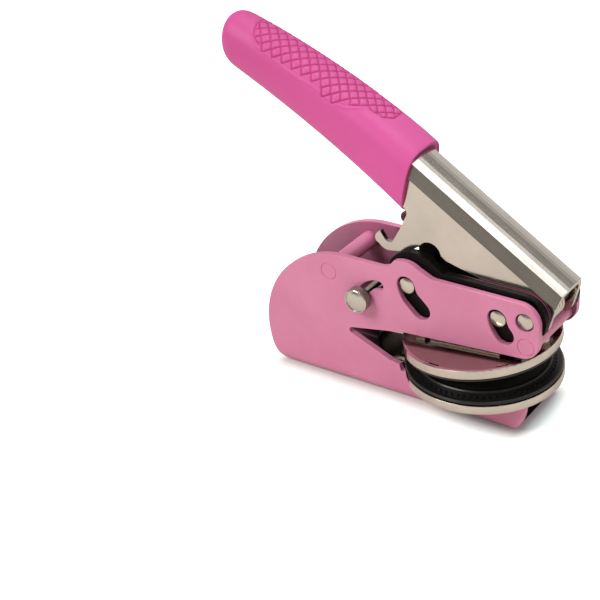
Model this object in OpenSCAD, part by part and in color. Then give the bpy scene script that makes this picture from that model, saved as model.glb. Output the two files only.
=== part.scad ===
// Hand seal embosser: a folded steel frame holds a removable pair of round
// dies, and a channel handle with a soft grip presses them together.
// X runs along the frame towards the mouth of the dies, Z is up, and the
// part is shown open. Origin: on the resting face, under the pressing axis.

/* [Frame] */
// Width of the frame over both side walls
frame_w = 25; // [25:0.5:30]
// Thickness of the frame sheet
frame_t = 2; // [1.6:0.1:2.2]
// Outside radius of the bend between wall and base
bend_r = 3; // [2.5:0.5:4]
// Radius of the round rear end of the side walls
rear_r = 30.4; // [29:0.2:32]
// Front end of the base
base_front_x = 20.8; // [20:0.2:24]
// Radius of the front corner of the base
front_r = 12.5; // [11.5:0.5:14]
// Height of the wall edge that carries the lower die
seat_z = 9.5; // [8.5:0.25:10.5]
// Height of the flat top edge of the side walls
arm_top_z = 43.9; // [43.5:0.1:46]
// Slope of the underside of the upper arms
arm_rise = 4; // [3.5:0.1:4.2]

/* [Handle] */
// Height of the main pivot
pivot_z = 38.1; // [38:0.1:38.6]
// Distance of the main pivot in front of the pressing axis
pivot_x = 20.7; // [20.2:0.1:21]
// Rise of the handle above level when open
handle_rise = 33.1; // [32:0.1:35]
// Travel of the handle from open to pressed
handle_travel = 24; // [20:0.5:24]
// Width over the side walls of the handle
handle_w = 15.6; // [14.8:0.1:15.8]
// Thickness of the handle sheet
handle_t = 1.5; // [1.2:0.1:1.7]
// Height of the handle back above the pivot line
handle_back = 10.5; // [9.8:0.1:11]
// Length of the handle sheet behind the pivot
handle_len = 89; // [80:1:92]

/* [Grip] */
// Start of the grip behind the pivot
grip_start = 48.5; // [47.5:0.5:52]
// End of the grip behind the pivot
grip_end = 122.6; // [118:0.2:130]
// Half width of the grip at its mouth
grip_half_w = 9.3; // [9.2:0.1:10.5]
// Half height of the grip at its mouth
grip_half_h = 9.2; // [8.8:0.1:10]

/* [Pins] */
// Diameter of the pivot, press and guide pins
pin_d = 5.6; // [5:0.1:5.6]
// Height of the domed ends of the pins
pin_dome = 0.7; // [0.4:0.1:0.9]
// Running clearance of a pin in its bore
pin_play = 0.05; // [0.02:0.01:0.08]
// Play on each side of a pin in a long slot
slot_play = 0.25; // [0.2:0.05:0.35]
// Clearance of pieces that are pressed or glued together
fixed_gap = 0.02; // [0.01:0.01:0.04]
// Diameter of the two painted spacer rods
spacer_d = 5.3; // [4.6:0.1:5.3]

/* [Press lever] */
// Gap between press lever and handle wall
cheek_play = 0.15; // [0.1:0.05:0.2]
// Gap between press lever and frame wall
cheek_gap = 0.2; // [0.15:0.05:0.3]

/* [Dies] */
// Diameter of the metal trays that carry the dies
tray_d = 47.5; // [46:0.5:48.5]
// Sheet thickness of the trays
tray_t = 0.8; // [0.6:0.1:1]
// Height of the rim round each tray
tray_rim = 2.65; // [2.4:0.05:3]
// Diameter of the raised die faces
die_d = 43; // [40:0.5:43.5]
// Height where the two die faces meet
meet_z = 15.05; // [15:0.05:15.1]
// Number of teeth in the ring round each die
die_teeth = 72; // [36:1:90]
// Opening angle of the dies
die_open = 5.2; // [4.6:0.1:5.2]

/* [Lock] */
// Diameter of the lock pin
lock_d = 2.9; // [2.4:0.1:2.9]
// Diameter of the lock knob
knob_d = 7.8; // [6.5:0.1:9]
// Length of the lock knob
knob_len = 3.2; // [2.5:0.1:4]
// Swing of the lock pin along its curved slot
lock_travel = 75; // [60:1:75]

/* [Return spring] */
// Wire diameter of the return spring
spring_wire = 1; // [0.8:0.05:1.1]
// Mean radius of the spring coil
spring_r = 4.3; // [4.2:0.05:4.4]
// Number of full turns in the spring coil
spring_turns = 3; // [2:1:3]

/* [Hidden] */
$fn = 96;

wall_y = frame_w / 2;
inner_y = wall_y - frame_t;
pin_r = pin_d / 2;
dome_r = (pin_r * pin_r + pin_dome * pin_dome) / (2 * pin_dome);
dome_turn = asin(pin_r / dome_r);
slot_r = pin_r + slot_play;
bore_r = pin_r + pin_play;
spacer_r = spacer_d / 2;
pivot = [pivot_x, pivot_z];

// Press pin: radius and bearing about the pivot, with the handle open
press_arm = 8.71;
press_bearing = 188.9;
function about_pivot(r, bearing) =
    [pivot_x + r * cos(bearing), pivot_z + r * sin(bearing)];
press_open = about_pivot(press_arm, press_bearing);
press_shut = about_pivot(press_arm, press_bearing + handle_travel);
press_stroke = press_open[1] - press_shut[1];
press_over = 10;

// Guide pins: they follow the press pin, since the lever stays level
guide_open = [-17.7, 39.5];
guide_centre = guide_open - press_open + pivot;
guide_end = [-12.9, 32.6];
guide_bend = guide_centre
    + press_arm * [cos(press_bearing + handle_travel + 4),
                   sin(press_bearing + handle_travel + 4)];

rear_spacer_at = [-44.8, 37.5];
front_spacer_at = [21.1, 30.2];

// Curved slot of the lock pin
lock_centre = [-27.2, 30.9];
lock_arm = 6.2;
lock_bearing = 169;
lock_r = lock_d / 2;
lock_open = lock_centre + lock_arm * [cos(lock_bearing), sin(lock_bearing)];
lock_slot_end = lock_bearing - lock_travel - 4;
lock_slot_r = lock_r + 0.15;

// Dies: seen closed, then the upper set is opened about the bend
die_x = 0.5;
tray_r = tray_d / 2;
rim_gap = 0.3;
floor_z = seat_z + tray_t;
rim_z = seat_z + tray_rim;
lip_t = 1.15;
upper_plane = 2 * meet_z - rim_z;
upper_top = upper_plane + tray_rim;
upper_floor = upper_top - tray_t;
flange_end = 128;
tail_half = 9;
tab_gap = 0.45;
tab_len = 3.8;
die_disc_r = tray_r - tray_t - rim_gap;
tab_end = die_x - max(die_disc_r, die_d / 2) - tab_gap;
tail_x = tab_end - tab_len;
strap_t = 0.6;
strap_half = 7.5;
strap_low = floor_z + strap_t / 2;
strap_high = upper_floor - strap_t / 2;
hinge = [tail_x - 0.6, (strap_low + strap_high) / 2];
strap_r = (strap_high - strap_low) / 2;
rivet_x = (tail_x + tab_end) / 2;
rivet_y = 4;
rivet_r = 0.9;
face_z = meet_z - 0.03;
face_t = 1.2;
face_r = die_d / 2 - 2.6;
screw_r = 1.5;
screw_len = 3;
stud_x = die_x + tray_r - 3.75;
stud_r = 1.2;
stud_len = 1.3;
plate_t = 1.3;
plate_top = upper_top + plate_t;

// Handle outline, in its own frame: first value forwards, second across
nose_r = 6;
boss_r = 5;
lobe_r = 4.7;
fold_v = 7;
back_half = 5.9;
crown = 0.55;
wall_half = handle_w / 2;
press_local = [-6.47, -5.83];
tongue_v = -1.9;
tongue_end_v = 4.6;
spine_play = 0.15;

cheek_y = wall_half + cheek_play;
cheek_t = inner_y - cheek_gap - cheek_y;
foot_z = plate_top + 0.03 + press_stroke;
pad_t = 1.5;
pad_half = tray_r * 0.33;
pad_w = 2 * inner_y * 0.55;
web_t = 2.2;
web_z = foot_z + pad_t;
fork_left = 16.4;
fork_right = pivot_x + slot_r + 0.1;
lever_top = 45.4;
guide_boss_r = 8;

coil_steps = 8;
sleeve_gap = 0.15;
sleeve_r = spring_r * cos(180 / coil_steps) - spring_wire / 2 - sleeve_gap;

// ---- drawing helpers -------------------------------------------------

// Points on an arc about c, from one bearing to another
function arc(c, r, from, to, steps = 10) =
    [for (i = [0 : steps])
        c + r * [cos(from + (to - from) * i / steps),
                 sin(from + (to - from) * i / steps)]];

// Stands a side outline up and gives it a thickness from y0 upwards in Y
module slab(y0, thick) {
    translate([0, y0 + thick, 0])
        rotate([90, 0, 0])
            linear_extrude(height = thick)
                children();
}

// A rod along Y through a point of the side view
module rod(at, r, y0, y1) {
    translate([at[0], y1, at[1]])
        rotate([90, 0, 0])
            cylinder(h = y1 - y0, r = r);
}

// A rod whose two ends have a small round
module headed_rod(at, r, half, round) {
    translate([at[0], half, at[1]])
        rotate([90, 0, 0])
            rotate_extrude()
                polygon(concat(
                    [[0, 0]],
                    arc([r - round, round], round, -90, 0, 6),
                    arc([r - round, 2 * half - round], round, 0, 90, 6),
                    [[0, 2 * half]]));
}

// Profile of a domed end of a pin, from its edge to its axis at height h
function domed_end(h) = arc([0, h - dome_r], dome_r, 90 - dome_turn, 90, 8);

// A pin whose two ends are domed
module domed_rod(at, half) {
    translate([at[0], half, at[1]])
        rotate([90, 0, 0])
            rotate_extrude()
                polygon(concat(
                    arc([0, dome_r], dome_r, -90, dome_turn - 90, 8),
                    domed_end(2 * half)));
}

// A straight slot between two points of the side view
module slot_2d(a, b, r) {
    run = norm(b - a);
    translate(a)
        circle(r = r);
    translate(b)
        circle(r = r);
    translate(a)
        rotate(atan2(b[1] - a[1], b[0] - a[0]))
            translate([0, -r])
                square([run, 2 * r]);
}

// A curved slot about c
module arc_slot_2d(c, arm, from, to, r) {
    translate(c + arm * [cos(from), sin(from)])
        circle(r = r);
    translate(c + arm * [cos(to), sin(to)])
        circle(r = r);
    intersection() {
        difference() {
            translate(c)
                circle(r = arm + r);
            translate(c)
                circle(r = arm - r);
        }
        polygon(concat([c], arc(c, 2 * (arm + r), from, to, 8)));
    }
}

// Puts a shape of the handle's own frame in its open place
module in_handle() {
    translate([pivot_x, 0, pivot_z])
        rotate([0, handle_rise, 0])
            children();
}

// Opens what is drawn closed about the bend of the clip
module opened() {
    translate([hinge[0], 0, hinge[1]])
        rotate([0, -die_open, 0])
            translate([-hinge[0], 0, -hinge[1]])
                children();
}

// ---- frame -----------------------------------------------------------

module frame_outline() {
    rear_c = [-38.9, arm_top_z - rear_r];
    heel_r = 8;
    heel_turn = asin((rear_c[1] - heel_r) / (rear_r - heel_r));
    heel_c = rear_c - (rear_r - heel_r) * [cos(heel_turn), sin(heel_turn)];
    front_c = [base_front_x - front_r, seat_z];
    front_turn = asin(seat_z / front_r);
    nose_top = [pivot_x - 1.5, arm_top_z - 6.2];
    nose_low = [nose_top[0], 32.2];
    low_r = 6.1;
    hump = [guide_open[0] - 0.4, arm_top_z - 4.2];
    hump_r = 7.9;
    arm_z = nose_low[1] - low_r;
    arm_back = [-19, arm_z - (nose_low[0] + 19) * tan(arm_rise)];
    polygon(concat(
        // base front corner, then up to the seat of the lower tray
        arc(front_c, front_r, -front_turn, 0, 12),
        [[-20.9, seat_z], [-21.3, 11.6]],
        [[-24.3, 12.1]],
        // throat, rounded at its inner end
        arc([-37.6, 18.9], 1, 246, 104, 6),
        [arm_back + [-1.6, -0.3], arm_back],
        // arm, its nose and the top edge
        arc(nose_low, low_r, -90, 0, 10),
        arc(nose_top, 6.2, 0, 90, 10),
        arc([hump[0] + 10.2, arm_top_z + 4.6], 4.6, 270, 238, 4),
        arc(hump, hump_r, 52, 118, 10),
        arc([hump[0] - 8.9, arm_top_z + 7.5], 7.5, 302, 270, 5),
        // round rear end down to the resting face
        arc(rear_c, rear_r, 90, 180 + heel_turn, 26),
        arc(heel_c, heel_r, 180 + heel_turn, 270, 8)));
}

module frame_cuts() {
    translate(pivot)
        circle(r = bore_r);
    arc_slot_2d(pivot, press_arm, press_bearing - 1,
        press_bearing + handle_travel + press_over, slot_r);
    arc_slot_2d(guide_centre, press_arm, press_bearing - 1,
        press_bearing + handle_travel + 4, slot_r);
    slot_2d(guide_bend, guide_end, slot_r);
    arc_slot_2d(lock_centre, lock_arm, lock_bearing + 1, lock_slot_end,
        lock_slot_r);
    for (at = [rear_spacer_at, front_spacer_at])
        translate(at)
            circle(r = spacer_r + fixed_gap);
}

// Section of the folded sheet: two walls and the base between them
module channel_section() {
    height = 60;
    core_r = bend_r - frame_t;
    difference() {
        union() {
            translate([-wall_y, bend_r])
                square([frame_w, height]);
            translate([-wall_y + bend_r, 0])
                square([frame_w - 2 * bend_r, bend_r + 1]);
            for (side = [-1, 1])
                translate([side * (wall_y - bend_r), bend_r])
                    circle(r = bend_r);
        }
        translate([-inner_y, frame_t + core_r])
            square([2 * inner_y, height]);
        translate([-inner_y + core_r, frame_t])
            square([2 * (inner_y - core_r), core_r + 1]);
        for (side = [-1, 1])
            translate([side * (inner_y - core_r), frame_t + core_r])
                circle(r = core_r);
    }
}

module frame() {
    color("hotpink")
        difference() {
            intersection() {
                slab(-wall_y - 1, frame_w + 2)
                    frame_outline();
                translate([-80, 0, 0])
                    rotate([90, 0, 90])
                        linear_extrude(height = 130)
                            channel_section();
            }
            slab(-wall_y - 2, frame_w + 4)
                frame_cuts();
        }
}

module spacer(at) {
    color("hotpink")
        headed_rod(at, spacer_r, wall_y, 0.3);
}

// ---- handle ----------------------------------------------------------

// Side outline of the folded handle sheet, hook and notch included
module handle_outline() {
    notch = [-33.6, -8.6];
    notch_r = 3.8;
    tip = handle_back + crown + 1;
    polygon(concat(
        [[2.6, tip], [4, fold_v]],
        arc([0, 0], nose_r, 0, -26, 4),
        arc([0, 0], boss_r, -42, -98, 6),
        arc(press_local, lobe_r, -52, -188, 12),
        [[-17.5, -2.6], [-28.9, -6.4]],
        arc(notch, notch_r, 40, 184, 10),
        // hook that the lock pin catches
        [[-38.1, -10.8], [-41.3, -15.4]],
        arc([-46.2, -14.9], 3.7, -50, -110, 6),
        arc([-47.7, -16.4], 2.3, -120, -205, 6),
        arc([-49.5, -15], 0.5, 100, 20, 3),
        arc([-46.4, -13.9], 1.9, -128, -20, 6),
        [[-45, -7.8], [-45.5, -4.5]],
        arc([-47.6, -4], 2.1, 8, 90, 5),
        // tongue that the grip is moulded over
        [[-handle_len, tongue_v + 2.4], [-handle_len, tongue_end_v]],
        [[-60, tip]]));
}

// Cross-section of the folded handle sheet, grown outwards by a margin
module handle_section(grow) {
    side = wall_half + grow;
    shoulder = back_half + grow * 0.55;
    top = handle_back + grow;
    crown_r = (back_half * back_half + crown * crown) / (2 * crown);
    sweep = asin(shoulder / crown_r);
    polygon(concat(
        [[-side, -25], [side, -25], [side, fold_v + grow * 0.4]],
        arc([0, top + crown - crown_r], crown_r, 90 - sweep, 90 + sweep, 8),
        [[-side, fold_v + grow * 0.4]]));
}

// The handle sheet in its own frame; play makes it thicker on both faces
module handle_sheet(play, from, to) {
    intersection() {
        slab(-wall_half - 1, handle_w + 2)
            if (play > 0)
                offset(delta = play)
                    handle_outline();
            else
                handle_outline();
        translate([from, 0, 0])
            rotate([90, 0, 90])
                linear_extrude(height = to - from)
                    difference() {
                        handle_section(play);
                        handle_section(-handle_t - play);
                    }
    }
}

module handle() {
    color("silver")
        difference() {
            in_handle()
                handle_sheet(0, -handle_len - 1, 12);
            rod(pivot, bore_r, -wall_half - 1, wall_half + 1);
            rod(press_open, pin_r + fixed_gap, -wall_half - 1, wall_half + 1);
        }
}

// Grip at share s of its length: middle height, size and corner shape
grip_rings = 36;
grip_sides = 28;
grip_len = grip_end - grip_start;
function grip_mid(s) = 4.55 + 4 * s - 11 * pow(s, 1.8);
function grip_taper(s) = 1 - 0.21 * pow(s, 1.72);
// The tip closes over the last part of the length
tip_share = 0.093;
tip_power = 2.85;
function grip_close(s) =
    let (t = (s - 1 + tip_share) / tip_share)
    t < 0 ? 1 : pow(max(0.02, 1 - pow(t, tip_power)), 1 / tip_power);
function grip_lip(s) = s < 0.02 ? 0.94 + 3 * s : 1;
function grip_size(s) = grip_taper(s) * grip_close(s) * grip_lip(s);
function grip_corner(s) = 3.2 - 1.1 * s;
function grip_share(i) =
    i / grip_rings < 0.7
        ? i / grip_rings * 1.2
        : 0.84 + 0.16 * sin(90 * (i / grip_rings - 0.7) / 0.3);
// Both ends lean back at the top: the mouth by a little, the tip by more
function grip_lean(s, v) =
    -(1.5 + 0.33 * (v - 4)) * pow(1 - s, 8) - 0.5 * (v - grip_mid(s)) * s;
// Rounded-square curve: power of the cosine or sine, sign kept
function bulge(c, corner) = sign(c) * pow(abs(c), 2 / corner);
function grip_point(s, t) =
    let (v = grip_mid(s)
             + grip_half_h * grip_size(s) * bulge(sin(t), grip_corner(s)),
         y = grip_half_w * grip_size(s) * bulge(cos(t), grip_corner(s)))
    [-grip_start - grip_len * s + grip_lean(s, v), y, v];

module grip_body() {
    rings = [for (i = [0 : grip_rings]) grip_share(i)];
    points = [for (s = rings) for (j = [0 : grip_sides - 1])
        grip_point(s, 360 * j / grip_sides)];
    last = grip_rings * grip_sides;
    sides = [for (i = [0 : grip_rings - 1]) for (j = [0 : grip_sides - 1])
        let (a = i * grip_sides + j,
             b = i * grip_sides + (j + 1) % grip_sides)
        for (f = [[a, b, b + grip_sides], [a, b + grip_sides, a + grip_sides]])
            f];
    ends = [[for (j = [grip_sides - 1 : -1 : 0]) j],
        [for (j = [0 : grip_sides - 1]) last + j]];
    polyhedron(points = points, faces = concat(sides, ends), convexity = 4);
}

module grip() {
    color("deeppink")
        in_handle()
            difference() {
                grip_body();
                handle_sheet(spine_play, -handle_len - 1, 12);
            }
}

// ---- pins of the main joint -------------------------------------------

module pivot_pin() {
    color("gainsboro")
        domed_rod(pivot, wall_y);
}

module press_pin() {
    color("gainsboro")
        domed_rod(press_open, wall_y);
}

module spring_sleeve() {
    half = wall_half - handle_t - 0.2;
    color("dimgray")
        difference() {
            rod(pivot, sleeve_r, -half, half);
            rod(pivot, bore_r, -half - 1, half + 1);
        }
}

// ---- press lever -------------------------------------------------------

module lever_outline() {
    bow_r = 7.2;
    bow_wall = 2.65;
    bow_c = [fork_right + bow_wall - bow_r, lever_top - bow_r];
    shoulder = guide_open + [1.9, 0.6];
    shoulder_r = 9.9;
    low = foot_z + pad_t + 0.2;
    fork_r = 2.6;
    fork_top = pivot_z + pin_r + press_stroke + 0.1;
    difference() {
        polygon(concat(
            [[-13, low], [14.2, low + 1.6]],
            arc([14.2, low + 3.6], 2, -80, 0, 4),
            [[fork_left, 33.8], [fork_left, 34.3]],
            [[fork_right + 0.2, 34.3]],
            arc([fork_right + 1.2, 34.9], 0.8, 250, 340, 4),
            arc(bow_c, bow_r, -22, 90, 12),
            [[-6.4, lever_top]],
            arc(shoulder, shoulder_r, 50, 145, 12),
            arc(guide_open, guide_boss_r, 155, 215, 8)));
        polygon(concat(
            [[fork_left, 20], [fork_right, 20]],
            arc([fork_right - fork_r, fork_top - fork_r], fork_r, 0, 90, 8),
            arc([fork_left + fork_r, fork_top - fork_r], fork_r, 90, 180, 8)));
    }
}

module press_lever() {
    color([0.1, 0.09, 0.09])
        difference() {
            union() {
                for (y0 = [-cheek_y - cheek_t, cheek_y])
                    slab(y0, cheek_t)
                        lever_outline();
                translate([-11, -cheek_y - 0.1, web_z])
                    cube([22, 2 * cheek_y + 0.2, web_t]);
            }
            rod(press_open, bore_r, -wall_y, wall_y);
            rod(guide_open, pin_r + fixed_gap, -wall_y, wall_y);
        }
}

module guide_pins() {
    length = wall_y - cheek_y;
    color("gainsboro")
        for (turn = [0, 180])
            translate([guide_open[0], 0, guide_open[1]])
                rotate([90, turn, turn])
                    translate([0, 0, cheek_y])
                        rotate_extrude()
                            polygon(concat([[0, 0], [pin_r, 0]],
                                domed_end(length)));
}

module press_pad() {
    color("lightslategray")
        translate([die_x - pad_half, -pad_w / 2, foot_z])
            cube([2 * pad_half, pad_w, pad_t]);
}

// ---- return spring -----------------------------------------------------

// Wire path, from the leg that bears on the front spacer, round the coil,
// to the leg that holds the press pin up. Both legs are straight tangents.
coil_gap = 0.5;
coil_pitch = spring_wire + coil_gap;
wire_gap = 0.06;
function polar(v) = atan2(v[1], v[0]);
spacer_way = front_spacer_at - pivot;
press_way = press_open - pivot;
rest_r = spring_wire / 2 + wire_gap;
leg_a = polar(spacer_way)
    - acos((spring_r - spacer_r - rest_r) / norm(spacer_way));
leg_b = polar(press_way)
    + acos((spring_r - pin_r - rest_r) / norm(press_way));
coil_sweep = (leg_a - leg_b + 1080) % 360 + 360 * spring_turns;
coil_count = ceil(coil_sweep / (360 / coil_steps));
spring_half = coil_pitch * coil_sweep / 720;
function coil_point(k) =
    let (t = leg_a - coil_sweep * k / coil_count)
    [pivot_x + spring_r * cos(t),
     -spring_half + 2 * spring_half * k / coil_count,
     pivot_z + spring_r * sin(t)];
function leg_point(k, reach) =
    let (t = leg_a - coil_sweep * k / coil_count)
    coil_point(k) + reach * [sin(t), 0, -cos(t)];
reach_a = norm(spacer_way) + 0.9;
reach_b = norm(press_way) + 0.9;
wire_path = concat(
    [leg_point(0, -reach_a), leg_point(0, 1.2 - reach_a),
     leg_point(0, -4), leg_point(0, -1.2)],
    [for (k = [0 : coil_count]) coil_point(k)],
    [leg_point(coil_count, 1.2), leg_point(coil_count, 4),
     leg_point(coil_count, reach_b - 1.2), leg_point(coil_count, reach_b)]);

function unit(v) = v / norm(v);
function path_way(k) =
    unit(wire_path[min(k + 1, len(wire_path) - 1)] - wire_path[max(k - 1, 0)]);
module return_spring() {
    sides = 6;
    count = len(wire_path);
    across = [0, 1, 0];
    points = [for (k = [0 : count - 1])
        let (w = path_way(k),
             n = unit(cross(w, across)),
             b = cross(n, w))
        for (j = [0 : sides - 1])
            wire_path[k] + spring_wire / 2
                * (n * cos(360 * j / sides) + b * sin(360 * j / sides))];
    skin = [for (k = [0 : count - 2]) for (j = [0 : sides - 1])
        let (a = k * sides + j, b = k * sides + (j + 1) % sides)
        for (f = [[a, b + sides, b], [a, a + sides, b + sides]]) f];
    ends = [[for (j = [0 : sides - 1]) j],
        [for (j = [sides - 1 : -1 : 0]) (count - 1) * sides + j]];
    color("silver")
        polyhedron(points = points, faces = concat(skin, ends), convexity = 8);
}
// Least gap of the wire to itself, over all points half a turn apart or more
spring_own_gap = min([for (i = [4 : 4 + coil_count])
    for (j = [i + coil_steps / 2 : len(wire_path) - 1])
        norm(wire_path[i] - wire_path[j])]) - spring_wire;
echo(spring_own_gap = spring_own_gap);

// ---- dies --------------------------------------------------------------

// Plan of a tray floor: round in front, with a tail to the bend
module tray_plan() {
    translate([die_x, 0])
        circle(r = tray_r - tray_t / 2);
    translate([tail_x, -tail_half])
        square([die_x - tail_x, 2 * tail_half]);
}

// Rim round the front of a tray, drawn upwards from the floor
module tray_rim_ring(height) {
    translate([die_x, 0, 0])
        rotate([0, 0, -flange_end])
            rotate_extrude(angle = 2 * flange_end)
                translate([tray_r - tray_t, 0])
                    square([tray_t, height]);
}

// Short curved slots inside the rim of the upper tray
module crimp_slots(z0, height) {
    slot_in = die_disc_r - 0.6;
    slot_turn = 9;
    for (side = [-1, 1])
        for (bearing = [45, 98])
            translate([die_x, 0, z0])
                rotate([0, 0, side * bearing - slot_turn / 2])
                    rotate_extrude(angle = slot_turn)
                        translate([slot_in, 0])
                            square([0.6, height]);
}

// Toothed ring: an outline whose radius steps in and out
module toothed(r, depth) {
    step = 360 / die_teeth;
    polygon([for (i = [0 : die_teeth - 1]) for (q = [0.15, 0.35, 0.65, 0.85])
        let (t = step * (i + q), rad = (q > 0.3 && q < 0.7) ? r : r - depth)
        rad * [cos(t), sin(t)]]);
}

// One die: disc in the tray, bead over the rim, toothed step, face
module die_body(face_z) {
    bead_r = tray_r - 0.35;
    bead = lip_t / 2;
    rise = rim_z + 0.05 - floor_z;
    face_h = face_z - floor_z;
    step_h = rise + lip_t + 0.7;
    rotate_extrude()
        polygon(concat(
            [[0, 0], [die_disc_r, 0], [die_disc_r, rise],
             [bead_r - bead, rise]],
            arc([bead_r - bead, rise + bead], bead, -90, 90, 8),
            [[die_d / 2 - 1.2, rise + lip_t], [die_d / 2 - 1.2, face_h - 0.3],
             [die_d / 2 - 1.5, face_h], [0, face_h]]));
    translate([0, 0, rise + lip_t - 0.2])
        linear_extrude(height = step_h - rise - lip_t + 0.2)
            toothed(die_d / 2 - 0.1, 0.6);
}

module lower_tray() {
    ear_half = 7;
    color("silver") {
        difference() {
            union() {
                translate([0, 0, seat_z])
                    linear_extrude(height = tray_t)
                        tray_plan();
                translate([0, 0, seat_z])
                    tray_rim_ring(tray_rim);
                for (side = [-1, 1])
                    translate([-ear_half, side * (inner_y - 0.6) - 0.4,
                            seat_z - 3])
                        cube([2 * ear_half, 0.8, 3.2]);
            }
            rivet_holes(seat_z - 1, tray_t + 2);
            translate([die_x, 0, seat_z - 1])
                cylinder(h = tray_t + 2, r = screw_r);
        }
    }
}

module rivet_holes(z0, height) {
    for (side = [-1, 1])
        translate([rivet_x, side * rivet_y, z0])
            cylinder(h = height, r = rivet_r);
}

module lower_die() {
    color([0.1, 0.09, 0.09])
        difference() {
            translate([die_x, 0, floor_z])
                die_body(face_z);
            translate([die_x, 0, face_z - face_t])
                cylinder(h = face_t + 1, r = face_r + fixed_gap);
            translate([die_x, 0, floor_z - 1])
                cylinder(h = 1 + screw_len - tray_t, r = screw_r);
        }
}

// Disc that carries the design, let into the die
module lower_face() {
    color("dimgray")
        translate([die_x, 0, face_z - face_t])
            cylinder(h = face_t, r = face_r);
}

// Pan-headed screw that holds the lower die on its tray
module lower_screw() {
    head_h = 1.5;
    head_r = 2.6;
    color("silver")
        translate([die_x, 0, seat_z])
            difference() {
                union() {
                    cylinder(h = screw_len, r = screw_r);
                    translate([0, 0, -head_h])
                        rotate_extrude()
                            polygon(concat([[0, 0]],
                                arc([head_r - 0.6, 0.6], 0.6, -90, 0, 6),
                                [[head_r, head_h], [0, head_h]]));
                }
                for (turn = [0, 90])
                    rotate([0, 0, turn])
                        translate([-1.5, -0.3, -head_h - 1])
                            cube([3, 0.6, 1.8]);
            }
}

// A rivet through tray tail and strap, with a head on each side
module rivet(z0, z1) {
    head = 0.5;
    translate([0, 0, z0])
        cylinder(h = z1 - z0, r = rivet_r);
    translate([0, 0, z0 - head])
        cylinder(h = head, r = rivet_r + 0.6);
    translate([0, 0, z1])
        cylinder(h = head, r = rivet_r + 0.6);
}

module rivet_set(z0, z1) {
    color("gray")
        for (side = [-1, 1])
            translate([rivet_x, side * rivet_y, 0])
                rivet(z0, z1);
}

module lower_rivets() {
    rivet_set(seat_z, floor_z + strap_t);
}

module upper_rivets() {
    opened()
        rivet_set(strap_high - strap_t / 2, upper_top);
}

// Spring strap: two tabs joined by a half turn, with the dies held open
module clip_spring() {
    color("dimgray")
        difference() {
            union() {
                translate([hinge[0], -strap_half, floor_z])
                    cube([tab_end - hinge[0], 2 * strap_half, strap_t]);
                opened()
                    translate([hinge[0], -strap_half, strap_high - strap_t / 2])
                        cube([tab_end - hinge[0], 2 * strap_half, strap_t]);
                translate([hinge[0], 0, hinge[1]])
                    rotate([90, -90 - die_open, 0])
                        translate([0, 0, -strap_half])
                            rotate_extrude(angle = 180 - die_open)
                                translate([strap_r - strap_t / 2, 0])
                                    square([strap_t, 2 * strap_half]);
            }
            rivet_holes(floor_z - 1, strap_t + 2);
            opened()
                rivet_holes(strap_high - 1, 2);
        }
}

module upper_tray() {
    color("silver")
        opened()
            difference() {
                union() {
                    translate([0, 0, upper_floor])
                        linear_extrude(height = tray_t)
                            tray_plan();
                    translate([0, 0, upper_plane])
                        tray_rim_ring(tray_rim);
                }
                rivet_holes(upper_floor - 1, tray_t + 2);
                crimp_slots(upper_floor - 1, tray_t + 2);
                translate([stud_x, 0, upper_floor - 1])
                    cylinder(h = tray_t + 2, r = stud_r);
            }
}

module upper_die() {
    color([0.1, 0.09, 0.09])
        opened()
            difference() {
                translate([die_x, 0, upper_floor])
                    mirror([0, 0, 1])
                        die_body(face_z);
                translate([die_x, 0, 2 * meet_z - face_z - 1])
                    cylinder(h = face_t + 1, r = face_r + fixed_gap);
                translate([stud_x, 0, upper_floor - stud_len])
                    cylinder(h = stud_len + 1, r = stud_r);
            }
}

module upper_face() {
    color("dimgray")
        opened()
            translate([die_x, 0, 2 * meet_z - face_z])
                cylinder(h = face_t, r = face_r);
}

// Stepped plate under the lever, with a notch in each long edge
module pressure_plate() {
    half = wall_y - 0.8;
    front = die_x + tray_r * 0.53;
    back = die_x - tray_r * 0.65;
    step = 0.5;
    notch_at = back + 3.1;
    notch = [1.7, 1.6];
    color("silver")
        opened()
            difference() {
                union() {
                    translate([back, -half, upper_top])
                        cube([front - back, 2 * half, plate_t * 0.55]);
                    translate([back + step, -half + step, upper_top])
                        cube([front - back - 2 * step, 2 * (half - step),
                            plate_t]);
                }
                for (side = [-1, 1])
                    translate([notch_at, side * half - notch[1],
                            upper_top - 1])
                        cube([notch[0], 2 * notch[1], plate_t + 2]);
            }
}

module die_stud() {
    color("silver")
        opened()
            translate([stud_x, 0, upper_floor - stud_len]) {
                cylinder(h = stud_len + tray_t, r = stud_r);
                translate([0, 0, stud_len + tray_t])
                    rotate_extrude()
                        polygon(concat([[0, 0], [2.3, 0], [2.3, 0.9]],
                            arc([1.3, 1.1], 1, 0, 90, 6), [[0, 2.1]]));
            }
}

// ---- lock --------------------------------------------------------------

washer_t = 0.6;
module lock_pin() {
    color("silver")
        rod(lock_open, lock_r, -wall_y - washer_t - knob_len + 0.8,
            wall_y + washer_t + 1.6);
}

module lock_knob() {
    back = wall_y + washer_t + 0.1;
    round = 0.55;
    rim = 0.2;
    face_r = knob_d / 2 - round - 0.15;
    face_dome = 0.6;
    curve_r = (face_r * face_r + face_dome * face_dome) / (2 * face_dome);
    face_turn = asin(face_r / curve_r);
    face_top = knob_len - rim + face_dome;
    color("silver")
        translate([lock_open[0], -back, lock_open[1]])
            rotate([90, 0, 0])
                difference() {
                    rotate_extrude()
                        polygon(concat(
                            [[0, 0], [knob_d / 2 - 0.5, 0],
                             [knob_d / 2, 0.5]],
                            arc([knob_d / 2 - round, knob_len - round], round,
                                0, 90, 6),
                            arc([0, face_top - curve_r], curve_r,
                                90 - face_turn, 90, 8)));
                    translate([0, 0, -1])
                        cylinder(h = knob_len - 0.8 - 0.1 + 1, r = lock_r);
                }
}

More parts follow.
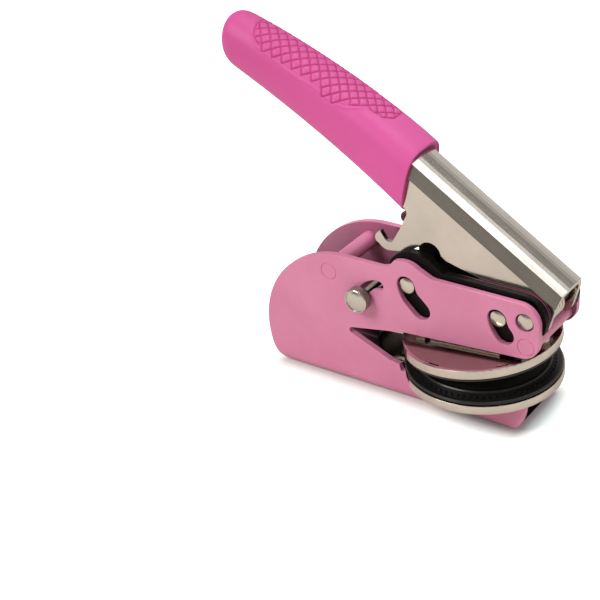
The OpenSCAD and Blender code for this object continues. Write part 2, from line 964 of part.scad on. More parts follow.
module lock_washers() {
    color("dimgray")
        for (side = [-1, 1])
            difference() {
                rod(lock_open, lock_r + 1.7,
                    side > 0 ? wall_y + 0.05 : -wall_y - washer_t - 0.05,
                    side > 0 ? wall_y + washer_t + 0.05 : -wall_y - 0.05);
                rod(lock_open, lock_r + 0.05, -wall_y - 2, wall_y + 2);
            }
}

module lock_ring() {
    seat = wall_y + washer_t + 0.1;
    color("silver")
        difference() {
            rod(lock_open, lock_r + 1.2, seat, seat + 0.8);
            rod(lock_open, lock_r, seat - 1, seat + 2);
            slab(seat - 1, 3)
                translate(lock_open + [0, -lock_r - 1])
                    square([lock_r * 1.5, 4], center = true);
        }
}

frame();
spacer(rear_spacer_at);  // rear_spacer
spacer(front_spacer_at);  // front_spacer
pivot_pin();
handle();
grip();
press_pin();
press_lever();
guide_pins();
press_pad();
spring_sleeve();
return_spring();
lower_tray();
lower_die();
lower_face();
lower_screw();
lower_rivets();
clip_spring();
upper_tray();
upper_die();
upper_face();
upper_rivets();
pressure_plate();
die_stud();
lock_pin();
lock_knob();
lock_washers();
lock_ring();
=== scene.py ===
import math

import bpy
import numpy as np
from mathutils import Matrix, Vector


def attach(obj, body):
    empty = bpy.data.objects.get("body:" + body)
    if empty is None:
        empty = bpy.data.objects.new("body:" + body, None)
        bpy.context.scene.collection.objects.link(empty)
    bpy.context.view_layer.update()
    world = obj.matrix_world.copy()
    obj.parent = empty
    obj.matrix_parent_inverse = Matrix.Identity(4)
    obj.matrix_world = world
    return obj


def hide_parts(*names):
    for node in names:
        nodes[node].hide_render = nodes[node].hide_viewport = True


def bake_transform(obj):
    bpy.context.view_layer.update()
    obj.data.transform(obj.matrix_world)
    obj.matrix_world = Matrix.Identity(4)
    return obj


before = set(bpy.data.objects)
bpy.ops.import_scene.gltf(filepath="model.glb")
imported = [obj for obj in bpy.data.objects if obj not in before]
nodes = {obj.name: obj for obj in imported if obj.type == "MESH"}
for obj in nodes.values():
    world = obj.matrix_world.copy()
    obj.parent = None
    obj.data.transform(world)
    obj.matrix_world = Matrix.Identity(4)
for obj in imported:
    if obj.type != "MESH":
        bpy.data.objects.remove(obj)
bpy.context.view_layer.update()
scene = bpy.context.scene

# Lengths are in millimetres, and are multiplied by MM where Blender takes them
MM = 0.001
# The pivot pin of the handle, along the part and up
PIVOT = np.array((20.7, 38.1))
# The open handle runs up and back from its pivot at this angle
RISE = math.radians(33.1)
UP_HANDLE = np.array((-math.cos(RISE), 0, math.sin(RISE)))
DOWN_HANDLE = Vector((math.cos(RISE), 0, -math.sin(RISE)))
LENGTHWISE = Vector((1, 0, 0))


# ---- materials -------------------------------------------------------------

def lin(*rgb):
    """Linear colour from 0-255 screen values."""
    shares = [c / 255 for c in rgb]
    return [c / 12.92 if c <= 0.04 else ((c + 0.055) / 1.055) ** 2.4 for c in shares] + [1.0]


class Tree:
    """Short words for building one node tree."""

    def __init__(self, owner, coord):
        self.owner = owner
        owner.use_nodes = True
        self.tree = owner.node_tree
        self.tree.nodes.clear()
        self.coord = self.node("ShaderNodeTexCoord", {}, coord)

    def node(self, kind, inputs, output=0, **settings):
        """Adds a node, links or sets its inputs, and gives one output."""
        node = self.tree.nodes.new(kind)
        for name, value in settings.items():
            setattr(node, name, value)
        for name, value in inputs.items():
            if hasattr(value, "links"):
                self.tree.links.new(value, node.inputs[name])
            elif value is not None:
                node.inputs[name].default_value = value
        return node.outputs[output] if node.outputs else None

    def noise(self, scale, detail=3.0, rough=0.55, vector=None):
        return self.node("ShaderNodeTexNoise", {
            "Vector": vector or self.coord, "Scale": scale,
            "Detail": detail, "Roughness": rough}, "Fac")

    def ramp(self, value, stops):
        color = self.node("ShaderNodeValToRGB", {"Fac": value}, "Color")
        elements = color.node.color_ramp.elements
        while len(elements) < len(stops):
            elements.new(0.5)
        for i, (position, shade) in enumerate(stops):
            elements[i].position = position
            elements[i].color = shade
        return color

    def range(self, value, lo, hi, first=0.0, last=1.0, **settings):
        """Runs from first to last as a value goes from lo to hi."""
        return self.node("ShaderNodeMapRange", {
            "Value": value, "From Min": lo, "From Max": hi,
            "To Min": first, "To Max": last}, **settings)

    def reach(self, value, start, end, first=0.0, last=1.0):
        """The same for a distance, with its ends in millimetres."""
        return self.range(value, start * MM, end * MM, first, last)

    def maths(self, operation, a, b=None):
        return self.node("ShaderNodeMath", {0: a, 1: b}, operation=operation)

    def vector(self, operation, a, b=None, output=0):
        return self.node("ShaderNodeVectorMath", {0: a, 1: b}, output, operation=operation)

    def times(self, a, b):
        return self.maths("MULTIPLY", a, b)

    def blend(self, a, b, share):
        return self.node("ShaderNodeMix", {6: a, 7: b, 0: share}, 2, data_type="RGBA")


class Finish(Tree):
    """A material round one Principled shader, in the object's coordinates."""

    def __init__(self, name):
        super().__init__(bpy.data.materials.new(name), "Object")
        shader = self.node("ShaderNodeBsdfPrincipled", {})
        self.shader = shader.node
        self.node("ShaderNodeOutputMaterial", {"Surface": shader})

    def put(self, name, value):
        if hasattr(value, "links"):
            self.tree.links.new(value, self.shader.inputs[name])
        else:
            self.shader.inputs[name].default_value = value

    def axis(self, name):
        """One coordinate of the object, in metres."""
        return self.node("ShaderNodeSeparateXYZ", {0: self.coord}, name)

    def side(self):
        """Distance from the middle plane, in metres."""
        return self.maths("ABSOLUTE", self.axis("Y"))

    def stretched(self, along, scale_along, scale_across):
        """Object coordinates, stretched along one direction."""
        return self.node("ShaderNodeMapping", {
            "Vector": self.coord,
            "Rotation": (0, math.atan2(-along.z, along.x), 0),
            "Scale": (1 / scale_along, 1 / scale_across, 1 / scale_across),
        }, vector_type="TEXTURE")

    def bump(self, height, distance, strength):
        self.put("Normal", self.node("ShaderNodeBump", {
            "Height": height, "Distance": distance, "Strength": strength}))


def paint(name, dark, light, rough, grain, coat=0.0, specular=0.5, shade=None):
    """Sprayed paint: slow shade drift, fine orange peel."""
    m = Finish(name)
    colour = m.ramp(m.noise(60, 4), ((0.3, dark), (0.7, light)))
    m.put("Base Color", shade(m, colour) if shade else colour)
    m.put("Roughness", m.range(m.noise(900, 2), 0.3, 0.7, rough - 0.04, rough + 0.05))
    m.put("Specular IOR Level", specular)
    m.put("Coat Weight", coat)
    m.put("Coat Roughness", 0.15)
    m.bump(m.noise(grain, 2), 0.00002, 0.5)
    return m.owner


def metal(name, base, rough, fine, along=None, shade=None):
    """Plated or turned metal, with brushing along one direction if given."""
    m = Finish(name)
    if along is None:
        lines = m.noise(fine, 3, 0.6)
    else:
        lines = m.noise(1.0, 3, 0.6, m.stretched(along, 60.0, fine))
    dark = [0.92 * c for c in base[:3]] + [1.0]
    light = [min(1.0, 1.08 * c) for c in base[:3]] + [1.0]
    colour = m.ramp(m.noise(90, 4), ((0.3, dark), (0.7, light)))
    m.put("Metallic", 1.0)
    m.put("Base Color", shade(m, colour) if shade else colour)
    m.put("Roughness", m.range(lines, 0.3, 0.7, rough - 0.05, rough + 0.07))
    m.bump(lines, 0.00001, 0.35)
    return m.owner


# Height in the frame, and how much painted shade its inside gets there
INSIDE_HIGH = 44
INSIDE_DEPTH = ((0, 1.0), (20, 0.99), (25, 0.93), (30, 0.66), (INSIDE_HIGH, 0.26))


def painted_inside_shade(m, colour):
    """Painted shade on the inside of the frame: nearly black, deeper towards the base."""
    along, height = m.axis("X"), m.axis("Z")
    inside = m.reach(m.side(), 10.64, 10.67, 1.0, 0.0)
    above_base = m.reach(height, 1.9, 1.95)
    depth = m.ramp(m.reach(height, 0, INSIDE_HIGH),
                   [(z / INSIDE_HIGH, (v, v, v, 1)) for z, v in INSIDE_DEPTH])
    sunk = m.times(m.reach(along, -38, -31, 0.0, 0.97), m.reach(along, 13, 18, 1.0, 0.5))
    rear = m.times(depth, m.reach(along, -62, -42, 0.55, 1.0))
    share = m.times(m.times(inside, above_base), m.maths("MAXIMUM", sunk, rear))
    return m.blend(colour, (0.012, 0.004, 0.007, 1), share)


def painted_pink_reflection(m, colour):
    """A painted reflection of the pink body on the inner top edge of the lever."""
    band = m.times(m.reach(m.side(), 8.25, 8.33, 1.0, 0.0), m.reach(m.side(), 7.97, 7.98))
    front = m.reach(m.axis("X"), -3, 1)
    return m.blend(colour, lin(150, 78, 104), m.times(band, front))


def painted_shade_below(level, shade, metallic=1.0):
    """Paints shade on a turned piece between its seat and its outer face: a dark ring on the
    pins where their bores shade them, a grey side on the knob in place of its reflection.
    """
    def tint(m, colour):
        face = m.reach(m.side(), level, level + 0.08)
        m.put("Metallic", m.range(face, 0.0, 1.0, metallic, 1.0))
        return m.blend(shade, colour, face)
    return tint


def painted_tray_shade(m, colour):
    """Painted shade on the flat of the upper tray, inside its bright rim."""
    flat = m.vector("MULTIPLY", m.coord, (1, 1, 0))
    from_middle = m.vector("LENGTH", flat, output="Value")
    return m.blend(lin(160, 146, 136), colour, m.reach(from_middle, 22.7, 22.9))


PINKS = lin(211, 124, 160), lin(221, 137, 172)
BRIGHT, TRAY = lin(200, 193, 182), lin(200, 192, 181)
# the body carries painted shade on its inside
pink = paint("body_pink", *PINKS, 0.36, 2600, 0.15, shade=painted_inside_shade)
spacer_pink = paint("spacer_pink", *PINKS, 0.36, 2600, 0.15)
# the lever gets a painted pink reflection along its inner top edge
black = paint("black_enamel", lin(8, 5, 5), lin(13, 9, 9), 0.5, 1800,
              specular=0.12, shade=painted_pink_reflection)
die_black = paint("die_black", lin(20, 17, 17), lin(30, 26, 26), 0.34, 1500)
resin = paint("die_resin", lin(46, 42, 40), lin(58, 52, 50), 0.5, 1500)
nickel = metal("nickel", lin(200, 193, 183), 0.17, 2600.0, DOWN_HANDLE)
tray_nickel = metal("tray_nickel", TRAY, 0.16, 1200.0, LENGTHWISE)
# the upper tray's flat gets painted shade
upper_nickel = metal("upper_nickel", TRAY, 0.16, 1200.0, LENGTHWISE, painted_tray_shade)
steel = metal("bright_steel", BRIGHT, 0.2, 1500.0)
# painted shade: a dark ring on the pins' ends, a grey side on the knob
pin_steel = metal("pin_steel", BRIGHT, 0.2, 1500.0,
                  shade=painted_shade_below(11.93, (0.01, 0.008, 0.007, 1)))
knob_steel = metal("knob_steel", BRIGHT, 0.2, 1500.0,
                   shade=painted_shade_below(16.05, lin(122, 116, 107), 0.3))
plate_steel = metal("plate_steel", lin(122, 114, 104), 0.3, 2500.0, LENGTHWISE)
spring_steel = metal("spring_steel", lin(92, 86, 78), 0.32, 1500.0)


def vinyl():
    """The grip: soft deep pink, with painted shade in its grooves and in its mouth."""
    m = Finish("grip_vinyl")
    grain = m.noise(1400, 3, 0.6)
    skin = m.ramp(m.noise(70, 4), ((0.3, lin(205, 80, 147)), (0.7, lin(213, 87, 154))))
    # paler towards the mouth, where more light falls on it in the photo
    drift = m.ramp(m.reach(m.axis("X"), -80, -22),
                   ((0.0, lin(198, 75, 140)), (1.0, lin(220, 89, 161))))
    skin = m.blend(skin, drift, 0.75)
    # painted shade in the grooves and in the mouth
    for name, shade in (("groove", lin(182, 46, 112)), ("mouth", lin(84, 28, 58))):
        mask = m.node("ShaderNodeAttribute", {}, "Fac", attribute_name=name)
        skin = m.blend(skin, shade, mask)
    m.put("Base Color", skin)
    m.put("Roughness", m.range(grain, 0.3, 0.7, 0.44, 0.56))
    m.put("Specular IOR Level", 0.35)
    m.bump(grain, 0.00003, 0.4)
    return m.owner


FINISH = {
    "frame": pink, "rear_spacer": spacer_pink, "front_spacer": spacer_pink,
    "handle": nickel, "lower_tray": tray_nickel, "upper_tray": upper_nickel,
    "pressure_plate": plate_steel, "press_pad": steel, "pivot_pin": pin_steel,
    "press_pin": pin_steel, "guide_pins": pin_steel, "lock_pin": steel,
    "lock_knob": knob_steel, "lock_ring": steel, "die_stud": steel,
    "lower_screw": steel, "lock_washers": spring_steel,
    "clip_spring": spring_steel, "return_spring": steel,
    "lower_rivets": spring_steel, "upper_rivets": spring_steel,
    "press_lever": black, "spring_sleeve": die_black,
    "lower_die": die_black, "upper_die": die_black,
    "lower_face": resin, "upper_face": resin, "grip": vinyl(),
}
for name, node in nodes.items():
    node.data.materials.clear()
    node.data.materials.append(FINISH[name])


# ---- helpers for new pieces ------------------------------------------------

def tube_faces(rings, sides):
    """Quads between closed rings of points that follow one another."""
    return [(i * sides + j, (i + 1) * sides + j, (i + 1) * sides + k, i * sides + k)
            for i in range(rings - 1) for j in range(sides) for k in [(j + 1) % sides]]


def place_object(name, data):
    placed = bpy.data.objects.new(name, data)
    scene.collection.objects.link(placed)
    return placed


def mesh_piece(name, points, faces, material):
    """A new object from points in millimetres, smooth but for end caps."""
    mesh = bpy.data.meshes.new(name)
    mesh.from_pydata((np.array(points) * MM).tolist(), [], faces)
    mesh.polygons.foreach_set("use_smooth", [len(face) < 5 for face in faces])
    mesh.update()
    mesh.materials.append(material)
    return place_object(name, mesh)


# ---- the grip --------------------------------------------------------------

# Distances behind the pivot, half sizes, and how soon the sleeve tapers
GRIP_FROM, GRIP_TO = 48.5, 122.6
GRIP_HALF_W, GRIP_HALF_H = 9.3, 9.2
TAPER, TAPER_POWER = 0.21, 1.72
# Shares of its length where the lip, the panel and the rounded tip begin
LIP_SHARE, PANEL_SHARE, TIP_SHARE = 0.006, 0.2, 0.093
LIP_ROUND, TIP_POWER = 0.035, 2.85
# The mouth face: share of the outline and how much painted shade it gets, from the inside out
MOUTH_RINGS = ((0.2, 1.0), (0.85, 0.75), (0.93, 0.1), (0.985, 0.0))
MOUTH_RECESS = 0.3

# Outline of the scaled thumb panel: how far behind the pivot, and across
PANEL = np.array((
    (115.7, 1.8), (115.4, -1.1), (114.5, -3.4), (113.2, -5.2), (111.7, -6.1),
    (110.1, -6.6), (107.9, -6.9), (105.2, -7.2), (102.1, -7.4), (97.8, -7.8),
    (94.1, -7.9), (91.4, -7.5), (87.1, -7.5), (83.2, -7.8), (80.4, -7.7),
    (78.3, -7.2), (75.5, -4.9), (73.3, -2.6), (72.0, -3.3), (70.2, -3.2),
    (69.5, -2.3), (68.3, -2.9), (65.9, 0.0), (65.9, 2.8), (66.2, 5.4),
    (68.3, 6.4), (71.0, 6.3), (73.3, 5.4), (75.5, 7.4), (78.3, 8.7),
    (84.0, 8.9), (94.1, 9.0), (102.1, 8.7), (107.9, 8.0), (111.7, 7.0),
    (114.0, 5.4), (115.2, 3.8)))
PANEL_HALF = 9.8
# The scales: a grid of diamonds from one origin, its two rows of grooves
SCALE_ORIGIN = (109.617, -6.125)
SCALE_ROWS = np.array(((2.193, 1.507), (2.048, -1.943))) / -7.347
SCALE_BACK = np.linalg.inv(SCALE_ROWS)
SCALE_GAP = 1 / np.linalg.norm(SCALE_ROWS, axis=1)
SCALE_INSET, SCALE_ROUND = 0.19, 0.55
CROWN_HIGH, RIDGE_HIGH, GROOVE_DEEP = 0.12, 0.14, 0.27


def grip_mid(s):
    """Height of the sleeve's middle line over the handle's axis."""
    return 4.55 + 4 * s - 11 * s ** 1.8


def grip_size(s):
    return 1 - TAPER * s ** TAPER_POWER


def grip_surface(s, t, size):
    """Point of the grip's side at share s of its length and angle t, with
    the distance behind the pivot. The mouth leans, and so does the tip."""
    corner = 2 / (3.2 - 1.1 * s)
    c, r = np.cos(t), np.sin(t)
    v = grip_mid(s) + GRIP_HALF_H * size * np.sign(r) * np.abs(r) ** corner
    y = GRIP_HALF_W * size * np.sign(c) * np.abs(c) ** corner
    mouth_lean = (1.5 + 0.37 * (v - 4)) * (1 - s) ** 8
    tip_lean = 0.5 * (v - grip_mid(s)) * s
    back = GRIP_FROM + (GRIP_TO - GRIP_FROM) * s + mouth_lean + tip_lean
    point = np.stack((PIVOT[0] - back * math.cos(RISE) + v * math.sin(RISE), y,
                      PIVOT[1] + back * math.sin(RISE) + v * math.cos(RISE)), -1)
    return point, back


def panel_distance(u, w):
    """Distance to the panel's outline, positive inside."""
    nearest = np.full(u.shape, 1e9)
    inside = np.zeros(u.shape, bool)
    for (u0, w0), (u1, w1) in zip(PANEL, np.roll(PANEL, -1, axis=0)):
        du, dw = u1 - u0, w1 - w0
        share = ((u - u0) * du + (w - w0) * dw) / (du * du + dw * dw)
        share = np.clip(share, 0, 1)
        nearest = np.minimum(nearest, np.hypot(u - u0 - share * du, w - w0 - share * dw))
        crosses = (w0 > w) != (w1 > w)
        with np.errstate(divide="ignore", invalid="ignore"):
            inside ^= crosses & (u < u0 + (w - w0) * du / dw)
    return np.where(inside, nearest, -nearest)


def smooth_step(x, lo, hi):
    k = np.clip((x - lo) / (hi - lo), 0, 1)
    return k * k * (3 - 2 * k)


def panel_relief(u, w):
    """Height of the skin, and how deep in a groove it lies."""
    cell = (np.stack((u, w), -1) - SCALE_ORIGIN) @ SCALE_ROWS.T
    index = np.floor(cell)
    local = cell - index - 0.5
    border = panel_distance(u, w)
    open_edge = ((w < -2.5) | (w > 5.5)) & (u > 77.5) & (u < 110.0)

    def kept(shift):
        """Along the open edges whole scales are kept, elsewhere cut ones."""
        middle = (index + 0.5 + shift) @ SCALE_BACK.T + SCALE_ORIGIN
        whole = panel_distance(middle[..., 0], middle[..., 1]) > 0.25
        return np.where(open_edge, whole, smooth_step(border, 0.0, 0.35))

    # a groove round each scale, with rounded corners
    off = np.abs(local) * SCALE_GAP
    half = SCALE_GAP / 2 - SCALE_INSET
    q = off - (half - SCALE_ROUND)
    edge = np.hypot(*np.moveaxis(np.maximum(q, 0), -1, 0)) + np.minimum(q.max(-1), 0)
    own = kept(0.0)
    deep = smooth_step(edge - SCALE_ROUND, -0.12, 0.12) * own
    # the straight grooves that a kept neighbour shares, and the panel's rim
    for side in (0, 1):
        shift = np.zeros(local.shape)
        shift[..., side] = np.sign(local[..., side])
        line = 1 - smooth_step(SCALE_GAP[side] / 2 - off[..., side], 0.08, 0.3)
        deep = np.maximum(deep, line * kept(shift))
    rim = np.exp(-(border / 0.24) ** 2) * np.where(open_edge, 0.25, 1.0)
    deep = np.maximum(deep, rim)
    crown = CROWN_HIGH * np.clip(1 - (off / half) ** 2, 0, 1).prod(-1) * own
    ridge = RIDGE_HIGH * np.exp(-((border + 0.95) / 0.33) ** 2) * smooth_step(-w, 3.0, 5.0)
    return crown + ridge - GROOVE_DEEP * deep, deep


# rows along the grip: the rolled lip, the plain neck, the panel, the tip
lip = np.linspace(0, 1, 5)[:-1] * LIP_SHARE
neck = np.linspace(LIP_SHARE, PANEL_SHARE, 18)[:-1]
panel = np.linspace(PANEL_SHARE, 1 - TIP_SHARE, 235)[:-1]
turn = np.linspace(0, math.pi / 2, 46)[:-1]
tip = 1 - TIP_SHARE + TIP_SHARE * np.sin(turn) ** (2 / TIP_POWER)
along = np.concatenate((lip, neck, panel, tip))
size = grip_size(along)
size[-len(turn):] *= np.cos(turn) ** (2 / TIP_POWER)
size[:len(lip)] *= 1 - LIP_ROUND * (1 - np.sqrt(1 - (1 - lip / LIP_SHARE) ** 2))

# columns round the grip: evenly spaced over the top, plain below
fine = np.linspace(0, math.pi, 4001)
arch, _ = grip_surface(0.5, fine, grip_size(0.5))
span = np.concatenate(([0], np.cumsum(np.linalg.norm(np.diff(arch, axis=0), axis=1))))
span -= span[len(span) // 2]
over = np.interp(np.linspace(-PANEL_HALF, PANEL_HALF, 99), span, fine)
under = np.linspace(over[-1], over[0] + 2 * math.pi, 63)[1:-1]
around = np.concatenate((over, under))
rows, cols, top = len(along), len(around), len(over)
surface, behind = grip_surface(along[:, None], around[None, :], size[:, None])

# the relief, by the distance along and across the top
chord = np.linalg.norm(np.diff(surface[:, :top], axis=1), axis=-1)
across = np.concatenate((np.zeros((rows, 1)), np.cumsum(chord, axis=1)), axis=1)
across = across[:, top // 2:top // 2 + 1] - across
height, groove = np.zeros((2, rows, cols))
height[:, :top], groove[:, :top] = panel_relief(behind[:, :top], across)
way_round = np.roll(surface, -1, axis=1) - np.roll(surface, 1, axis=1)
normal = np.cross(np.gradient(surface, axis=0), way_round)
normal /= np.linalg.norm(normal, axis=-1, keepdims=True) + 1e-12
outward = surface - surface.mean(axis=1, keepdims=True)
normal *= np.sign((normal * outward).sum(-1, keepdims=True))
surface = surface + normal * height[..., None]

# the mouth face, drawn in a little
_, lip_back = grip_surface(0.0, around, size[0])
mouth_rings = []
for shrink, _ in MOUTH_RINGS:
    ring, ring_back = grip_surface(0.0, around, size[0] * shrink)
    mouth_rings.append(ring + (lip_back - ring_back + MOUTH_RECESS)[:, None] * UP_HANDLE)

rings = np.concatenate((mouth_rings, surface))
hubs = rings[[0, -1]].mean(axis=1)
last_ring, hub = (len(rings) - 1) * cols, len(rings) * cols
grip_faces = tube_faces(len(rings), cols)
for j in range(cols):
    k = (j + 1) % cols
    grip_faces.append((j, k, hub))
    grip_faces.append((last_ring + k, last_ring + j, hub + 1))
grip = mesh_piece("thumb_grip", np.concatenate((rings.reshape(-1, 3), hubs)),
                  grip_faces, FINISH["grip"])
# how much painted shade each point gets, in the grooves and in the mouth
mouth_marks = np.repeat([dark for _, dark in MOUTH_RINGS], cols)
marks = {
    "groove": (np.zeros(len(mouth_marks)), groove.ravel(), (0.0, 0.0)),
    "mouth": (mouth_marks, np.zeros(rows * cols), (1.0, 0.0)),
}
for name, parts in marks.items():
    layer = grip.data.attributes.new(name, "FLOAT", "POINT")
    layer.data.foreach_set("value", np.concatenate(parts).tolist())
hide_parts("grip")
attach(grip, "handle")

# ---- the return spring -----------------------------------------------------

# It twists between the frame and the handle: one leg bears on the front
# spacer, the other holds the press pin up. The numbers are those of the
# CAD's spring.
SPACER_WAY, SPACER_R = np.array((21.1, 30.2)) - PIVOT, 2.65
PRESS_TURN = math.radians(188.9)
PRESS_WAY, PIN_R = 8.71 * np.array((math.cos(PRESS_TURN), math.sin(PRESS_TURN))), 2.8
WIRE_R, WIRE_GAP, WIRE_SIDES, END_EASE = 0.5, 0.06, 12, 0.08
COIL_R, COIL_TURNS, COIL_PITCH, COIL_STEPS = 4.3, 3, 1.5, 40
LEG_PAST = 0.9


def leg_bearing(way, radius, side):
    """Where round the coil a leg leaves it to touch a rod of that radius."""
    swing = math.acos((COIL_R - radius - WIRE_R - WIRE_GAP) / np.linalg.norm(way))
    return math.atan2(way[1], way[0]) + side * swing


first_turn = leg_bearing(SPACER_WAY, SPACER_R, -1)
last_turn = leg_bearing(PRESS_WAY, PIN_R, 1)
sweep = (first_turn - last_turn) % (2 * math.pi) + 2 * math.pi * COIL_TURNS
coil_half = COIL_PITCH * sweep / (4 * math.pi)


def coil_at(share, out=0.0):
    """Point of the coil at a share of its sweep, or out along its tangent."""
    turned = first_turn - sweep * share
    x = PIVOT[0] + COIL_R * math.cos(turned) + out * math.sin(turned)
    z = PIVOT[1] + COIL_R * math.sin(turned) - out * math.cos(turned)
    return x, coil_half * (2 * share - 1), z


def leg(way):
    """Distances of a leg's points from the coil, out to its eased end."""
    end = np.linalg.norm(way) + LEG_PAST
    return 0.8, 2, 4, end - 1.2, end - END_EASE, end


steps = round(COIL_STEPS * sweep / (2 * math.pi))
wire = np.array([coil_at(0, -out) for out in reversed(leg(SPACER_WAY))]
                + [coil_at(share) for share in np.linspace(0, 1, steps)]
                + [coil_at(1, out) for out in leg(PRESS_WAY)])
way = np.gradient(wire, axis=0)
way /= np.linalg.norm(way, axis=1, keepdims=True)
flank = np.cross(way, (0, 1, 0))
flank /= np.linalg.norm(flank, axis=1, keepdims=True)
crest = np.cross(flank, way)
thick = np.full((len(wire), 1, 1), WIRE_R)
thick[[0, -1]] -= END_EASE
angle = np.linspace(0, 2 * math.pi, WIRE_SIDES, endpoint=False)[:, None]
tube = wire[:, None] + thick * (np.cos(angle) * flank[:, None] + np.sin(angle) * crest[:, None])
last_ring = (len(wire) - 1) * WIRE_SIDES
coil_faces = tube_faces(len(wire), WIRE_SIDES)
coil_faces.append(tuple(range(WIRE_SIDES)))
coil_faces.append(tuple(reversed(range(last_ring, last_ring + WIRE_SIDES))))
coil = mesh_piece("spring_coil", tube.reshape(-1, 3), coil_faces, steel)
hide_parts("return_spring")
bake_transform(coil)

# ---- the clip strap --------------------------------------------------------

# A copy of the CAD's clip spring, whose loop joins the lower and the upper tray
strap = place_object("clip_strap", nodes["clip_spring"].data.copy())
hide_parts("clip_spring")
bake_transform(strap)

# ---- broken edges ----------------------------------------------------------

# Widths of the small bevels on sheet and tray edges
EDGES = {"frame": 0.35, "press_lever": 0.15, "pressure_plate": 0.15,
         "upper_tray": 0.18, "lower_tray": 0.18}
for name, width in EDGES.items():
    modifiers = nodes[name].modifiers
    weld = modifiers.new("weld", "WELD")
    weld.merge_threshold = 0.001 * MM
    flat = modifiers.new("flat", "DECIMATE")
    flat.decimate_type = "DISSOLVE"
    flat.angle_limit = math.radians(0.5)
    edge = modifiers.new("edge", "BEVEL")
    edge.width = width * MM
    edge.segments = 2
    edge.limit_method = "ANGLE"
    edge.angle_limit = math.radians(40)
    edge.miter_outer = "MITER_ARC"
    edge.harden_normals = True


# ---- the floor -------------------------------------------------------------

# What the camera sees added to the floor: nothing by the frame's foot,
# where its shadow stays, then enough to turn the haze round it white
GLOW_AT_FOOT = (0.0, 0.04, 0.05, 1)
GLOW_NEAR = (0.53, 0.62, 0.63, 1)
GLOW_FAR = (0.8, 0.8, 0.8, 1)


def floor_finish():
    m = Tree(bpy.data.materials.new("floor"), "Object")
    foot = np.array([v.co for v in nodes["frame"].data.vertices if v.co.z < 0.5 * MM])
    low, high = foot.min(axis=0), foot.max(axis=0)
    away = m.vector("SUBTRACT", m.coord, ((low[0] + high[0]) / 2, 0, 0))
    away = m.vector("ABSOLUTE", away)
    away = m.vector("SUBTRACT", away, ((high[0] - low[0]) / 2, high[1], 1))
    away = m.vector("MAXIMUM", away, (0, 0, 0))
    from_foot = m.vector("LENGTH", away, output="Value")
    from_middle = m.vector("LENGTH", m.coord, output="Value")
    glow = m.blend(GLOW_AT_FOOT, GLOW_NEAR, m.reach(from_foot, 1, 6))
    glow = m.blend(glow, GLOW_FAR, m.reach(from_middle, 100, 350))
    seen = m.node("ShaderNodeLightPath", {}, "Is Camera Ray")
    surface = m.node("ShaderNodeBsdfDiffuse", {"Color": (0.82, 0.77, 0.72, 1)})
    light = m.node("ShaderNodeEmission", {"Color": glow, "Strength": seen})
    both = m.node("ShaderNodeAddShader", {0: surface, 1: light})
    m.node("ShaderNodeOutputMaterial", {"Surface": both})
    return m.owner


FLOOR_HALF, FLOOR_DROP = 3000, 0.2
floor = mesh_piece("floor", [(x * FLOOR_HALF, y * FLOOR_HALF, 0)
                             for x, y in ((-1, -1), (1, -1), (1, 1), (-1, 1))],
                   [(0, 1, 2, 3)], floor_finish())
floor.location.z = -FLOOR_DROP * MM

# ---- the room and its lights -----------------------------------------------

ROOM, ROOM_STRENGTH = (0.62, 0.60, 0.58, 1), 0.72
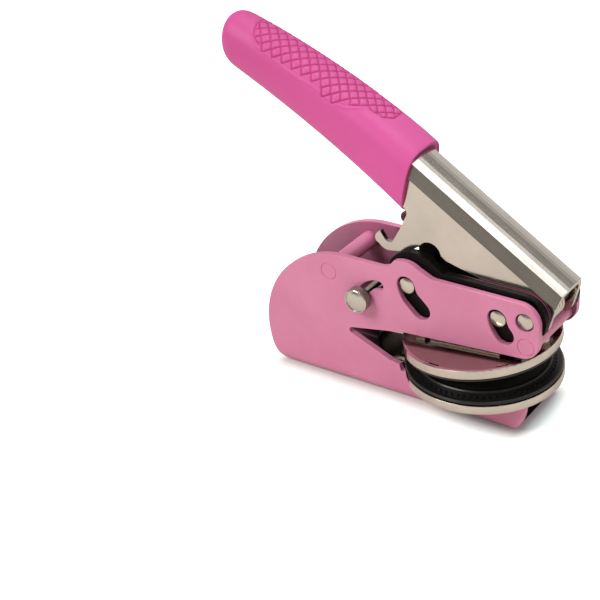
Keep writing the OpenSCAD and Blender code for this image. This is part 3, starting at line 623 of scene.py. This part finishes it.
# Darker and brighter patches of the room that the metal reflects: their
# direction, their inner and outer angle in degrees, and their colour
STREAK = (4.0, 4.0, 4.0, 1)
PATCHES = (
    ((0.1, -0.90, 0.42), 22, 40, (0.38, 0.36, 0.34, 1)),
    ((-0.52, -0.80, 0.14), 10, 22, (0.22, 0.21, 0.20, 1)),
    ((0.23, 0.72, 0.65), 6, 17, (0.42, 0.41, 0.40, 1)),
    ((0.04, 0.94, 0.34), 4, 18, (1.2, 1.18, 1.16, 1)),
    ((0.305, 0.565, 0.766), 2.2, 7.0, STREAK),
    ((0.340, 0.575, 0.744), 2.2, 7.0, STREAK),
    ((0.372, 0.583, 0.722), 2.2, 7.0, STREAK),
)
scene.world = bpy.data.worlds.new("studio")
sky = Tree(scene.world, "Generated")
room = ROOM
for toward, inner, outer, shade in PATCHES:
    aim = sky.vector("DOT_PRODUCT", sky.coord, Vector(toward).normalized(), "Value")
    patch = sky.range(aim, math.cos(math.radians(outer)), math.cos(math.radians(inner)),
                      interpolation_type="SMOOTHSTEP")
    room = sky.blend(room, shade, patch)
seen = sky.node("ShaderNodeLightPath", {}, "Is Camera Ray")
lit = sky.node("ShaderNodeBackground", {"Color": room, "Strength": ROOM_STRENGTH})
white = sky.node("ShaderNodeBackground", {"Color": (1, 1, 1, 1)})
both = sky.node("ShaderNodeMixShader", {0: seen, 1: lit, 2: white})
sky.node("ShaderNodeOutputWorld", {"Surface": both})


def softbox(name, place, side, power):
    """A square light that looks at the object's middle, in metres."""
    light = bpy.data.lights.new(name, "AREA")
    light.shape = "RECTANGLE"
    light.size = light.size_y = side
    light.energy = power
    lamp = place_object(name, light)
    lamp.location = place
    lamp.rotation_mode = "QUATERNION"
    aim = Vector((0, 0, 0.03)) - Vector(place)
    lamp.rotation_quaternion = aim.to_track_quat("-Z", "Y")


softbox("key", (-0.45, -0.75, 0.85), 0.5, 8.2)
softbox("top", (0.15, 0.25, 1.1), 0.6, 5.6)

# ---- the camera, as solved from the photo ----------------------------------

CAMERA_AT = (0.206117, -0.355739, 0.278303)
AZIMUTH, ELEVATION, ROLL = (math.radians(v) for v in (37.409, 30.448, -4.972))
scene.camera = place_object("camera", bpy.data.cameras.new("camera"))
scene.camera.data.sensor_width = 36
scene.camera.data.lens = 98.366
scene.camera.data.clip_start = 0.01
scene.camera.data.clip_end = 20
back = Vector((math.sin(AZIMUTH) * math.cos(ELEVATION),
               -math.cos(AZIMUTH) * math.cos(ELEVATION), math.sin(ELEVATION)))
level = Vector((math.cos(AZIMUTH), math.sin(AZIMUTH), 0))
upright = back.cross(level)
right = math.cos(ROLL) * level + math.sin(ROLL) * upright
up = math.cos(ROLL) * upright - math.sin(ROLL) * level
turned = Matrix((right, up, back)).transposed().to_4x4()
scene.camera.matrix_world = Matrix.Translation(CAMERA_AT) @ turned
scene.view_settings.view_transform = "Standard"
